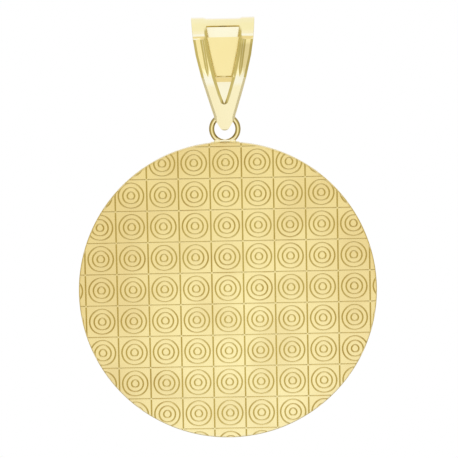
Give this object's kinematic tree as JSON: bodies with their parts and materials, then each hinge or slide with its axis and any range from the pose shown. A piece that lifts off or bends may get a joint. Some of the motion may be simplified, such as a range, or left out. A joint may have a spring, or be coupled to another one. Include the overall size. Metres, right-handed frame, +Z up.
{
  "type": "gold pendant",
  "caption": "Round gold medallion stamped all over with ringed squares, on a jump ring hanging from an open V-fronted bail.",
  "frame": {"origin": "top of the bail's channel, on the line where a chain carries the pendant", "axes": "+Z up, -Z down through the jump ring and the medallion, +X to the right of someone who looks at the stamped face, which faces -Y"},
  "size_m": [0.045, 0.0064, 0.0638],
  "materials": {
    "polished_gold": "polished yellow gold",
    "stamped_gold": "satin yellow gold, stamped"
  },
  "bodies": {
    "bail": {"bail": "polished_gold"},
    "medallion": {"medallion": "stamped_gold"}
  },
  "joints": [
    {"name": "medallion_swing", "type": "hinge", "parent": "bail", "child": "medallion", "pos_m": [0, 0, -0.01405], "axis": [1, 0, 0], "range_deg": [-50, 50]}
  ]
}
